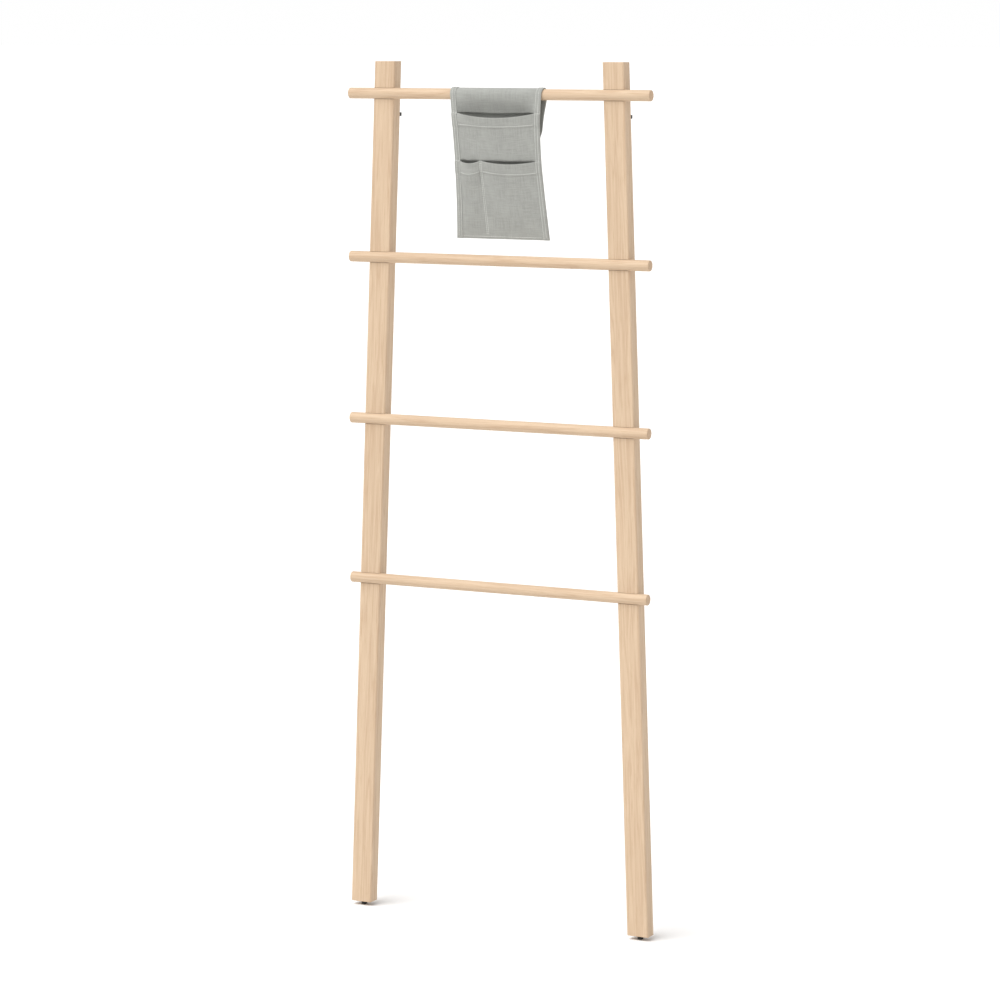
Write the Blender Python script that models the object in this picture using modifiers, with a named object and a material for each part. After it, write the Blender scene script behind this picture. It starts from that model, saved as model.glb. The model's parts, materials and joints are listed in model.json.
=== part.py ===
"""A leaning towel ladder of birch with a cloth pocket organiser hung over its top rung.

Two flat posts splay towards the floor. Four round rungs lie in notches across their front faces,
each held by a screw from the back of each post. The organiser is a doubled cloth: a front leaf
with pockets, a saddle over the rung, and a back flap that closes on the leaf with press studs.

+Z is up, +X runs along the rungs and the front faces -Y. The origin is on the floor, at the
middle of the whole object's outline.
"""
import math

import bmesh
import bpy
from mathutils import Matrix, Vector

# the ladder, in metres
HEIGHT = 1.500
POST_WIDTH = 0.040
POST_DEPTH = 0.0255
POST_TOP_X = 0.2181
POST_FOOT_X = 0.2728
POST_ROUNDING = 0.003
POST_END_EASE = 0.3
RUNG_COUNT = 4
RUNG_DIAMETER = 0.0186
RUNG_LENGTH = 0.577
RUNG_INSET = 0.003
TOP_RUNG_Z = 1.4447
RUNG_SPACING = 0.2836
RUNG_END_EASE = 0.0008

# fittings
GAP = 0.0003
FOOT_HEIGHT = 0.007
FOOT_RADIUS = 0.00525
FOOT_STEM_RADIUS = 0.003
FOOT_STEM_LENGTH = 0.009
SCREW_RADIUS = 0.00175
SCREW_HEAD_RADIUS = 0.0035
SCREW_LENGTH = 0.022
SCREW_RIM = 0.0004
SCREW_TIP = 0.003
SCREW_RECESS = Vector((0.004, 0.0009, 0.0026))
BUMPER_DROP = 0.0362
BUMPER_WIDTH = 0.035
BUMPER_HEIGHT = 0.0065
BUMPER_PROUD = 0.009
BUMPER_TONGUE = Vector((0.028, 0.005, 0.003))

# the organiser
CLOTH = 0.0016
CLOTH_CLEAR = 0.0005
ORGANISER_WIDTH = 0.174
ORGANISER_X = 0.0015
LEAF_LENGTH = 0.245
LEAF_TILT = math.radians(7.2)
HINGE_DROP = 0.001
POCKET_HOLLOW = 0.007
UPPER_MOUTH = 0.033
LOWER_MOUTH = 0.1135
DIVIDER_SHARE = 0.325
DIVIDER_WIDTH = 0.003
FLAP_MEETS_LEAF = 0.072
FLAP_END = 0.100
STUD_DROP = 0.086
STUD_SPREAD = 0.062
STUD_COUNT = 3
STUD_SHANK_RADIUS = 0.0015
STUD_FLANGE_RADIUS = 0.005
STUD_SPACE = 0.0035

# worked out from the dimensions above
RUNG_RADIUS = RUNG_DIAMETER / 2
LOOP_RADIUS = RUNG_RADIUS + CLOTH_CLEAR + CLOTH / 2
TRAY_DEPTH = POCKET_HOLLOW + CLOTH
UPPER_TRAY_BACK = -CLOTH / 2 - GAP
LOWER_TRAY_BACK = UPPER_TRAY_BACK - TRAY_DEPTH - GAP


def turn_leaf(y, z):
    """A point of the leaf, measured straight down from its hinge, as the leaf hangs."""
    return (y * math.cos(LEAF_TILT) - z * math.sin(LEAF_TILT),
            y * math.sin(LEAF_TILT) + z * math.cos(LEAF_TILT))


# how far the foremost pocket edge stands in front of the posts, and so where the posts lie
POCKET_REACH = min(turn_leaf(UPPER_TRAY_BACK - TRAY_DEPTH, -UPPER_MOUTH)[0],
                   turn_leaf(LOWER_TRAY_BACK - TRAY_DEPTH, -LOWER_MOUTH)[0])
FRONT_REACH = LOOP_RADIUS - RUNG_INSET - POCKET_REACH
POST_FRONT_Y = (FRONT_REACH - POST_DEPTH - BUMPER_PROUD) / 2
POST_MID_Y = POST_FRONT_Y + POST_DEPTH / 2
POST_BACK_Y = POST_FRONT_Y + POST_DEPTH
RUNG_Y = POST_FRONT_Y + RUNG_INSET


def post_x(z):
    """The middle of a post, from the middle of the ladder, at a height above the floor."""
    down = (HEIGHT - z) / (HEIGHT - FOOT_HEIGHT)
    return POST_TOP_X + (POST_FOOT_X - POST_TOP_X) * down


def linear(hex_colour):
    """An sRGB hex colour as the linear RGBA that a shader takes."""
    values = [int(hex_colour[i:i + 2], 16) / 255 for i in (1, 3, 5)]
    return [v / 12.92 if v <= 0.04045 else ((v + 0.055) / 1.055) ** 2.4 for v in values] + [1.0]


def make_material(name, hex_colour, roughness, metallic):
    material = bpy.data.materials.new(name)
    material.use_nodes = True
    shader = material.node_tree.nodes["Principled BSDF"]
    shader.inputs["Base Color"].default_value = linear(hex_colour)
    shader.inputs["Roughness"].default_value = roughness
    shader.inputs["Metallic"].default_value = metallic
    return material


def add_object(name, mesh, collection, material=None, parent=None, location=(0, 0, 0), turn=0.0):
    """Put a mesh in a collection as an object, turned about X and placed under its parent."""
    obj = bpy.data.objects.new(name, mesh)
    collection.objects.link(obj)
    obj.parent = parent
    obj.location = location
    obj.rotation_euler.x = turn
    if material and not mesh.materials:
        mesh.materials.append(material)
    return obj


def add_empty(name, collection, location, parent=None, turn=0.0):
    return add_object(name, None, collection, None, parent, location, turn)


def as_mesh(name, bm, smooth=False):
    bmesh.ops.recalc_face_normals(bm, faces=bm.faces)
    mesh = bpy.data.meshes.new(name)
    bm.to_mesh(mesh)
    bm.free()
    if smooth:
        mesh.shade_smooth()
        mesh.set_sharp_from_angle(angle=math.radians(35))
    return mesh


def box_mesh(name, size, centre=(0, 0, 0)):
    bm = bmesh.new()
    place = Matrix.Translation(centre) @ Matrix.Diagonal((*size, 1))
    bmesh.ops.create_cube(bm, size=1, matrix=place)
    return as_mesh(name, bm)


def rod_mesh(name, radius, length, axis, segments):
    """A cylinder about the origin, along X or Y."""
    turn = Matrix.Rotation(math.pi / 2, 4, "Y" if axis == "X" else "X")
    bm = bmesh.new()
    bmesh.ops.create_cone(bm, cap_ends=True, segments=segments, radius1=radius, radius2=radius,
                          depth=length, matrix=turn)
    return as_mesh(name, bm, smooth=True)


def outline_mesh(name, outline, length):
    """A closed outline of (y, z) points, extruded to a length along X about the origin."""
    bm = bmesh.new()
    face = bm.faces.new([bm.verts.new((-length / 2, y, z)) for y, z in outline])
    grown = bmesh.ops.extrude_face_region(bm, geom=[face])
    moved = [item for item in grown["geom"] if isinstance(item, bmesh.types.BMVert)]
    bmesh.ops.translate(bm, verts=moved, vec=(length, 0, 0))
    return as_mesh(name, bm)


def strip_mesh(name, path, width):
    """An open strip of cloth: a path of (y, z) points, swept to a width along X."""
    bm = bmesh.new()
    verts = [bm.verts.new((-width / 2, y, z)) for y, z in path]
    edges = [bm.edges.new(pair) for pair in zip(verts, verts[1:])]
    grown = bmesh.ops.extrude_edge_only(bm, edges=edges)
    moved = [item for item in grown["geom"] if isinstance(item, bmesh.types.BMVert)]
    bmesh.ops.translate(bm, verts=moved, vec=(width, 0, 0))
    return as_mesh(name, bm)


def arc(centre, radius, start, end, steps):
    """Points (y, z) of an arc, its angles in degrees from +Y towards +Z."""
    angles = [math.radians(start + (end - start) * i / steps) for i in range(steps + 1)]
    return [(centre[0] + radius * math.cos(a), centre[1] + radius * math.sin(a)) for a in angles]


def frozen(obj):
    """The mesh of an object with its modifiers applied; the object itself is removed."""
    depsgraph = bpy.context.evaluated_depsgraph_get()
    mesh = bpy.data.meshes.new_from_object(obj.evaluated_get(depsgraph))
    mesh.name = obj.name
    bpy.data.objects.remove(obj)
    return mesh


def turned_mesh(name, profile, collection, steps, closed=False):
    """A profile of (radius, height) points turned about Z; a closed one makes a ring."""
    count = len(profile)
    edges = [(i, (i + 1) % count) for i in range(count if closed else count - 1)]
    mesh = bpy.data.meshes.new(name)
    mesh.from_pydata([(r, 0, h) for r, h in profile], edges, [])
    obj = add_object(name, mesh, collection)
    screw = obj.modifiers.new("Turn", "SCREW")
    screw.axis = "Z"
    screw.angle = 2 * math.pi
    screw.steps = screw.render_steps = steps
    screw.use_merge_vertices = True
    screw.merge_threshold = 0.00001
    result = frozen(obj)
    result.shade_smooth()
    result.set_sharp_from_angle(angle=math.radians(35))
    return result


def cut(obj, cutter, operation="DIFFERENCE"):
    boolean = obj.modifiers.new(cutter.name, "BOOLEAN")
    boolean.operation = operation
    boolean.solver = "EXACT"
    boolean.object = cutter


def add_cutter(name, mesh, collection, location, parent=None, turn=0.0):
    cutter = add_object(name, mesh, collection, None, parent, location, turn)
    cutter.hide_render = True
    cutter.display_type = "WIRE"
    return cutter


def bevel(obj, width, segments, by_weight=False):
    modifier = obj.modifiers.new("Bevel", "BEVEL")
    modifier.width = width
    modifier.segments = segments
    modifier.limit_method = "WEIGHT" if by_weight else "ANGLE"
    modifier.angle_limit = math.radians(40)


def post_mesh(name, side):
    """A post from its foot up: a plank sheared sideways, so its ends stay level.

    Bevel weights round the long edges fully and ease the ends by POST_END_EASE of that.
    """
    length = HEIGHT - FOOT_HEIGHT
    bm = bmesh.new()
    place = Matrix.Translation((0, 0, length / 2)) @ Matrix.Diagonal((POST_WIDTH, POST_DEPTH, length, 1))
    bmesh.ops.create_cube(bm, size=1, matrix=place)
    lean = side * (POST_TOP_X - POST_FOOT_X) / length
    for vert in bm.verts:
        vert.co.x += lean * vert.co.z
    weights = bm.edges.layers.float.new("bevel_weight_edge")
    for edge in bm.edges:
        lower, upper = sorted(vert.co.z for vert in edge.verts)
        edge[weights] = 1.0 if upper - lower > length / 2 else POST_END_EASE
    return as_mesh(name, bm)


def build_ladder(parts, cutters, materials, root):
    """Posts, rungs, screws, feet and wall bumpers."""
    rungs = {}
    grooves = []
    groove_outline = arc((0, 0), RUNG_RADIUS + GAP, -90, 90, 16)
    groove_outline += [(-POST_DEPTH, RUNG_RADIUS + GAP), (-POST_DEPTH, -RUNG_RADIUS - GAP)]
    groove_mesh = outline_mesh("rung_groove", groove_outline, RUNG_LENGTH + 0.02)
    rung_mesh = rod_mesh("rung", RUNG_RADIUS, RUNG_LENGTH, "X", 32)
    for number in range(1, RUNG_COUNT + 1):
        place = (0, RUNG_Y, TOP_RUNG_Z - (number - 1) * RUNG_SPACING)
        rung = add_object(f"rung_{number}", rung_mesh, parts, materials["wood"], root, place)
        bevel(rung, RUNG_END_EASE, 2)
        rungs[number] = rung
        grooves.append(add_cutter(f"groove_{number}", groove_mesh, cutters, place, root))

    screw_mesh, room_mesh = screw_meshes(cutters)
    foot_mesh, foot_room_mesh = foot_meshes(cutters)
    slot_size = BUMPER_TONGUE + Vector((2 * GAP, 2 * GAP, 2 * GAP))
    slot_mesh = box_mesh("bumper_slot", slot_size)
    tongue_mesh = box_mesh("bumper_tongue", BUMPER_TONGUE)
    for side, word in ((-1, "left"), (1, "right")):
        foot_place = (side * POST_FOOT_X, POST_MID_Y, FOOT_HEIGHT)
        post = add_object(f"post_{word}", post_mesh(f"post_{word}", side), parts,
                          materials["wood"], root, foot_place)
        bevel(post, POST_ROUNDING, 3, by_weight=True)
        for groove in grooves:
            cut(post, groove)
        for number, rung in rungs.items():
            height = rung.location.z
            place = (side * post_x(height), POST_BACK_Y - GAP, height)
            room = add_cutter(f"screw_room_{word}_{number}", room_mesh, cutters, place, root,
                              -math.pi / 2)
            cut(post, room)
            cut(rung, room)
            add_object(f"rung_screw_{word}_{number}", screw_mesh, parts, materials["steel"], root,
                       place, -math.pi / 2)
        cut(post, add_cutter(f"foot_room_{word}", foot_room_mesh, cutters,
                             (foot_place[0], POST_MID_Y, 0), root))
        add_object(f"foot_{word}", foot_mesh, parts, materials["rubber"], root,
                   (foot_place[0], POST_MID_Y, 0))
        add_bumper(word, side, post, slot_mesh, tongue_mesh, parts, cutters, materials, root)


def screw_meshes(collection):
    """A countersunk wood screw with a cross recess, and the room it needs in the wood."""
    shoulder = SCREW_HEAD_RADIUS - SCREW_RADIUS
    profile = [(0, 0), (SCREW_HEAD_RADIUS, 0), (SCREW_HEAD_RADIUS, -SCREW_RIM),
               (SCREW_RADIUS, -SCREW_RIM - shoulder), (SCREW_RADIUS, -SCREW_LENGTH + SCREW_TIP),
               (0, -SCREW_LENGTH)]
    plain = add_object("rung_screw", turned_mesh("screw_blank", profile, collection, 16), collection)
    recess = [add_cutter(f"recess_{i}", box_mesh("recess", size), collection, (0, 0, 0))
              for i, size in enumerate((SCREW_RECESS, SCREW_RECESS.yxz))]
    for cutter in recess:
        cut(plain, cutter)
    bpy.context.view_layer.update()
    screw = frozen(plain)
    for cutter in recess:
        bpy.data.objects.remove(cutter)
    over = 0.002
    rim = -SCREW_RIM - GAP
    tip = -SCREW_LENGTH - GAP
    room = [(0, over), (SCREW_HEAD_RADIUS + GAP, over), (SCREW_HEAD_RADIUS + GAP, rim),
            (SCREW_RADIUS + GAP, rim - shoulder), (SCREW_RADIUS + GAP, tip), (0, tip)]
    return screw, turned_mesh("screw_room", room, collection, 16)


def foot_meshes(collection):
    """A push-in rubber foot with a flat sole and a rounded rim, and the hole for its stem."""
    rim = 0.0015
    top = FOOT_HEIGHT - GAP
    corner = arc((FOOT_RADIUS - rim, rim), rim, 0, -90, 4)
    foot = [(0, FOOT_HEIGHT + FOOT_STEM_LENGTH), (FOOT_STEM_RADIUS, FOOT_HEIGHT + FOOT_STEM_LENGTH),
            (FOOT_STEM_RADIUS, top), (FOOT_RADIUS, top)] + corner + [(0, 0)]
    hole_top = FOOT_HEIGHT + FOOT_STEM_LENGTH + GAP
    hole = [(0, hole_top), (FOOT_STEM_RADIUS + GAP, hole_top), (FOOT_STEM_RADIUS + GAP, 0), (0, 0)]
    return (turned_mesh("foot", foot, collection, 24), turned_mesh("foot_room", hole, collection, 24))


def add_bumper(word, side, post, slot_mesh, tongue_mesh, parts, cutters, materials, root):
    """A rubber strip across the back of a post, held by a tongue in a blind slot."""
    height = TOP_RUNG_Z - BUMPER_DROP
    x = side * post_x(height)
    edge = 0.0015
    half = BUMPER_HEIGHT / 2
    outline = [(GAP, -half)] + arc((BUMPER_PROUD - edge, edge - half), edge, -90, 0, 4)
    outline += arc((BUMPER_PROUD - edge, half - edge), edge, 0, 90, 4) + [(GAP, half)]
    bumper = add_object(f"wall_bumper_{word}", outline_mesh("wall_bumper", outline, BUMPER_WIDTH),
                        parts, materials["rubber"], root, (x, POST_BACK_Y, height))
    reach = BUMPER_TONGUE.y
    cut(bumper, add_cutter(f"tongue_{word}", tongue_mesh, cutters,
                           (x, POST_BACK_Y - reach / 2 + 2 * GAP, height), root), "UNION")
    cut(post, add_cutter(f"slot_{word}", slot_mesh, cutters,
                         (x, POST_BACK_Y - reach / 2 + GAP, height), root))


def solidify(obj):
    modifier = obj.modifiers.new("Cloth", "SOLIDIFY")
    modifier.thickness = CLOTH
    modifier.offset = 0
    modifier.use_even_offset = True


def add_tray(name, back, mouth, dividers, parts, cutters, material, leaf):
    """A pocket panel: a shallow tray open at its top and towards the leaf, with inner seams."""
    height = LEAF_LENGTH - mouth
    centre = (0, back - TRAY_DEPTH / 2, -mouth - height / 2)
    tray = add_object(name, box_mesh(name, (ORGANISER_WIDTH, TRAY_DEPTH, height), centre), parts,
                      material, leaf)
    inner = ORGANISER_WIDTH / 2 - CLOTH
    edges = [-inner] + [x + step for x in dividers for step in (-DIVIDER_WIDTH / 2, DIVIDER_WIDTH / 2)]
    edges.append(inner)
    over = 0.005
    for number, (left, right) in enumerate(zip(edges[::2], edges[1::2])):
        size = (right - left, POCKET_HOLLOW + over, height - CLOTH + over)
        middle = ((left + right) / 2, back - POCKET_HOLLOW / 2 + over / 2,
                  -mouth - height / 2 + CLOTH / 2 + over / 2)
        cut(tray, add_cutter(f"{name}_hollow_{number}", box_mesh("hollow", size), cutters, middle, leaf))


def build_organiser(parts, cutters, materials, root):
    """The cloth saddle, leaf, pockets and flap, and the press studs that close them."""
    cloth = materials["cloth"]
    metal = materials["nickel"]
    slide = add_empty("organiser_slide", parts, (ORGANISER_X, RUNG_Y, TOP_RUNG_Z), root)
    saddle = add_object("organiser_saddle", strip_mesh("organiser_saddle",
                        arc((0, 0), LOOP_RADIUS, 180, 0, 16), ORGANISER_WIDTH), parts, cloth, slide)
    solidify(saddle)

    leaf_axis = add_empty("leaf_axis", parts, (0, -LOOP_RADIUS, -HINGE_DROP), slide, LEAF_TILT)
    leaf = add_object("front_leaf", strip_mesh("front_leaf", [(0, -GAP), (0, -LEAF_LENGTH)],
                      ORGANISER_WIDTH), parts, cloth, leaf_axis)
    solidify(leaf)
    seam = (DIVIDER_SHARE - 0.5) * ORGANISER_WIDTH
    add_tray("upper_pocket", UPPER_TRAY_BACK, UPPER_MOUTH, [], parts, cutters, cloth, leaf_axis)
    add_tray("lower_pockets", LOWER_TRAY_BACK, LOWER_MOUTH, [seam], parts, cutters, cloth, leaf_axis)

    flap_axis = add_empty("flap_axis", parts, (0, LOOP_RADIUS, -HINGE_DROP), slide)
    flap_lie = CLOTH + STUD_SPACE
    bend, end = (on_flap(flap_lie, -drop) for drop in (FLAP_MEETS_LEAF, FLAP_END))
    flap = add_object("back_flap", strip_mesh("back_flap", [(0, -GAP), bend, end], ORGANISER_WIDTH),
                      parts, cloth, flap_axis)
    solidify(flap)

    hole = rod_mesh("stud_hole", STUD_SHANK_RADIUS + GAP, 4 * CLOTH, "Y", 16)
    eyelet, stud, socket, cap = stud_meshes(cutters)
    upright = -math.pi / 2
    for number in range(1, STUD_COUNT + 1):
        x = (number - (STUD_COUNT + 1) / 2) * STUD_SPREAD
        cut(leaf, add_cutter(f"leaf_hole_{number}", hole, cutters, (x, 0, -STUD_DROP), leaf_axis))
        cut(flap, add_cutter(f"flap_hole_{number}", hole, cutters,
                             (x, *on_flap(flap_lie, -STUD_DROP)), flap_axis, LEAF_TILT))
        for name, mesh, y in (("stud_eyelet", eyelet, -CLOTH / 2 - GAP), ("stud_post", stud, CLOTH / 2 + GAP)):
            add_object(f"{name}_{number}", mesh, parts, metal, leaf_axis, (x, y, -STUD_DROP), upright)
        for name, mesh, y in (("stud_socket", socket, flap_lie - CLOTH / 2 - GAP),
                              ("stud_cap", cap, flap_lie + CLOTH / 2 + GAP)):
            add_object(f"{name}_{number}", mesh, parts, metal, flap_axis,
                       (x, *on_flap(y, -STUD_DROP)), upright + LEAF_TILT)


def on_flap(y, z):
    """A point given in the leaf's own straight frame, measured from the flap's hinge."""
    turned_y, turned_z = turn_leaf(y, z)
    return turned_y - 2 * LOOP_RADIUS, turned_z


def stud_meshes(collection):
    """The four turned pieces of a press stud, each with its cloth side at height 0.

    Heights run away from the front: the eyelet's flange lies in front of the leaf and its shank
    passes through to the stud post; the cap's shank passes forward through the flap to the socket.
    """
    flange = STUD_FLANGE_RADIUS
    shank = STUD_SHANK_RADIUS
    sheet = CLOTH + 2 * GAP
    plate = 0.0006
    head = flange - 0.001
    eyelet = [(0, sheet + plate), (shank, sheet + plate), (shank, 0), (head, 0), (head, -0.0004),
              (head - 0.0005, -plate), (0, -plate)]

    knob, knob_foot, knob_top = 0.0026, 0.0008, 0.0018
    stud = [(knob, knob_top), (knob, knob_foot), (flange, plate), (flange, 0), (shank + GAP, 0),
            (shank + GAP, knob_top)]

    cup, cup_floor, cup_rim = 0.0033, -0.0007, -0.0016
    socket = [(shank + GAP, 0), (flange, 0), (flange, -0.0014), (cup, cup_rim), (cup, cup_floor),
              (shank + GAP, cup_floor)]

    dome_radius, dome_top, cap_radius, cap_rim = 0.0153, 0.0016, 0.0059, 0.0003
    dome = arc((0, dome_top - dome_radius), dome_radius, 84, 68, 4)
    cap = [(0, dome_top)] + dome + [(cap_radius, cap_rim), (cap_radius, 0), (shank, 0),
                                    (shank, -sheet - cap_rim), (0, -sheet - cap_rim)]
    return (turned_mesh("stud_eyelet", eyelet, collection, 16),
            turned_mesh("stud_post", stud, collection, 16, closed=True),
            turned_mesh("stud_socket", socket, collection, 16, closed=True),
            turned_mesh("stud_cap", cap, collection, 16))


def main():
    for obj in list(bpy.data.objects):
        bpy.data.objects.remove(obj)
    parts = bpy.data.collections.new("towel_ladder")
    cutters = bpy.data.collections.new("cutters")
    for collection in (parts, cutters):
        bpy.context.scene.collection.children.link(collection)
    materials = {
        "wood": make_material("birch", "#e9d3b6", 0.55, 0.0),
        "rubber": make_material("black_rubber", "#1c1c1c", 0.75, 0.0),
        "cloth": make_material("grey_felt", "#b4b5b0", 0.95, 0.0),
        "steel": make_material("zinc_steel", "#b9bbbd", 0.35, 1.0),
        "nickel": make_material("nickel", "#c9c7c2", 0.25, 1.0),
    }
    root = add_empty("ladder", parts, (0, 0, 0))
    build_ladder(parts, cutters, materials, root)
    build_organiser(parts, cutters, materials, root)


main()
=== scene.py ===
import json
import math

import bmesh
import bpy
import numpy as np
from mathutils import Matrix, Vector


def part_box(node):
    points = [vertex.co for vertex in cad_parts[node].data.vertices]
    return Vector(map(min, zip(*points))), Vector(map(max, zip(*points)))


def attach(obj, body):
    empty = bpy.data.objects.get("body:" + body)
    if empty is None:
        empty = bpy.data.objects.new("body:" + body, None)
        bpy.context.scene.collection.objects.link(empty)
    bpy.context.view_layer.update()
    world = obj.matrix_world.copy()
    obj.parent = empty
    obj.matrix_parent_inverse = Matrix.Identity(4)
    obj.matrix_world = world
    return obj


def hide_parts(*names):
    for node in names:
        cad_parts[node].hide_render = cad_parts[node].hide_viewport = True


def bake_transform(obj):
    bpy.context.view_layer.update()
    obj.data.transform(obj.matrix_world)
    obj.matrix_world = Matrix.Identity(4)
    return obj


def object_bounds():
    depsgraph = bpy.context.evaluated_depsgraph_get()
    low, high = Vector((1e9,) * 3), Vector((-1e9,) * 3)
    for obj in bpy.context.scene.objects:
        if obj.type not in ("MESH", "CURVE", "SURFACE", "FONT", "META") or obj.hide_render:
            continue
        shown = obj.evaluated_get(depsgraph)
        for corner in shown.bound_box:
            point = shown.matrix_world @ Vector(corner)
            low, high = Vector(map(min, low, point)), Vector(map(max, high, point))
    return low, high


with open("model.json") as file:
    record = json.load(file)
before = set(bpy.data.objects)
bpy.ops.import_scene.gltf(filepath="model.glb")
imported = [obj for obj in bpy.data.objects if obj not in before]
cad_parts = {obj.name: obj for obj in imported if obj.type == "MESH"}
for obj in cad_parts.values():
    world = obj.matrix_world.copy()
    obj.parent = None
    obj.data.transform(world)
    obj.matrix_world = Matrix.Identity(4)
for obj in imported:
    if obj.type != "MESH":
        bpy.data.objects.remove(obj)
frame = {"nodes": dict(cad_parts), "record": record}

# a birch towel ladder with a grey canvas pocket organiser hung over its top rung
# metres, Z up, the rungs run along X and the front faces -Y

cadBounds = [[float(v) for v in corner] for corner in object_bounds()]
mm = 0.001


def boxOf(node):
    low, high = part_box(node)
    return np.array(low, float), np.array(high, float)


def makePiece(name, points, faces, material, smooth=True, flatUv=None):
    mesh = bpy.data.meshes.new(name)
    mesh.from_pydata(np.asarray(points, float).tolist(), [], faces)
    if flatUv is not None:      # metres on the flat cloth, so a weave follows the surface
        layer = mesh.uv_layers.new(name="flat")
        corner = np.empty(len(mesh.loops), np.int32)
        mesh.loops.foreach_get("vertex_index", corner)
        layer.data.foreach_set("uv", flatUv[corner].astype(np.float32).ravel())
    mesh.materials.append(material)
    if smooth:
        mesh.shade_smooth()
    piece = bpy.data.objects.new(name, mesh)
    bpy.context.scene.collection.objects.link(piece)
    return piece


def gridFaces(rows, columns, wrap=False):
    # quads of a grid numbered row by row; wrap joins the last column to the first
    row = np.arange(rows - 1)[:, None] * columns
    column = np.arange(columns if wrap else columns - 1)[None, :]
    nextColumn = (column + 1) % columns
    quads = np.stack([row + column, row + nextColumn,
                      row + columns + nextColumn, row + columns + column], -1)
    return quads.reshape(-1, 4).tolist()


def smoothCopy(node, name, material, angle=32):
    # a merged copy of a frame node with clean shading; the node itself stays as it is
    mesh = frame["nodes"][node].data.copy()
    mesh.name = name
    bm = bmesh.new()
    bm.from_mesh(mesh)
    bmesh.ops.remove_doubles(bm, verts=bm.verts, dist=0.00001)
    bmesh.ops.dissolve_limit(bm, angle_limit=math.radians(0.05), verts=bm.verts, edges=bm.edges)
    bm.to_mesh(mesh)
    bm.free()
    mesh.materials.clear()
    mesh.materials.append(material)
    mesh.shade_smooth()
    mesh.set_sharp_from_angle(angle=math.radians(angle))
    piece = bpy.data.objects.new(name, mesh)
    bpy.context.scene.collection.objects.link(piece)
    weighted = piece.modifiers.new("Shading", "WEIGHTED_NORMAL")
    weighted.keep_sharp = True
    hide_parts(node)
    return piece


def linearColour(hexColour):
    values = np.array([int(hexColour[i:i + 2], 16) / 255 for i in (1, 3, 5)])
    values = np.where(values <= 0.04045, values / 12.92, ((values + 0.055) / 1.055) ** 2.4)
    return (*values.tolist(), 1.0)


def newMaterial(name, roughness, metallic=0.0, ior=1.5):
    material = bpy.data.materials.new(name)
    material.use_nodes = True
    shader = material.node_tree.nodes["Principled BSDF"]
    shader.inputs["Roughness"].default_value = roughness
    shader.inputs["Metallic"].default_value = metallic
    shader.inputs["IOR"].default_value = ior
    return material, material.node_tree, shader


def addNode(tree, kind, settings=None, links=None):
    # settings: node properties and input values by name; links: input name or number to a socket
    node = tree.nodes.new(kind)
    for key, value in (settings or {}).items():
        if isinstance(key, int) or key in node.inputs:
            node.inputs[key].default_value = value
        else:
            setattr(node, key, value)
    for key, socket in (links or {}).items():
        tree.links.new(socket, node.inputs[key])
    return node


def addRamp(tree, factor, stops):
    ramp = addNode(tree, "ShaderNodeValToRGB", None, {"Fac": factor})
    elements = ramp.color_ramp.elements
    while len(elements) < len(stops):
        elements.new(0.5)
    for element, (place, colour) in zip(elements, stops):
        element.position = place
        element.color = linearColour(colour) if isinstance(colour, str) else (colour,) * 3 + (1.0,)
    return ramp.outputs["Color"]


def mixColours(tree, factor, first, second, blend="MIX"):
    mix = addNode(tree, "ShaderNodeMix", {"data_type": "RGBA", "blend_type": blend})
    for number, value in ((0, factor), (6, first), (7, second)):
        if isinstance(value, bpy.types.NodeSocket):
            tree.links.new(value, mix.inputs[number])
        else:
            mix.inputs[number].default_value = value
    return mix.outputs[2]


birch = {
    "pale": "#cab297", "mid": "#c3aa8f", "dark": "#bca186", "pore": "#a98d69", "end": "#b09275",
    "poreAcross": 1.1,      # mm; real pores are about 0.1 mm, drawn coarser so that they show
    "poreAlong": 26.0,      # mm
    "figureAcross": 9.0, "figureAlong": 260.0,      # mm, the plain-sawn figure of the growth rings
    "broadAcross": 30.0, "broadAlong": 420.0,       # mm, slow changes of tone in the plank
    "endRings": 420.0,      # a ring every 1.9 mm across the sawn ends, at the wave's own scale
}


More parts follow.
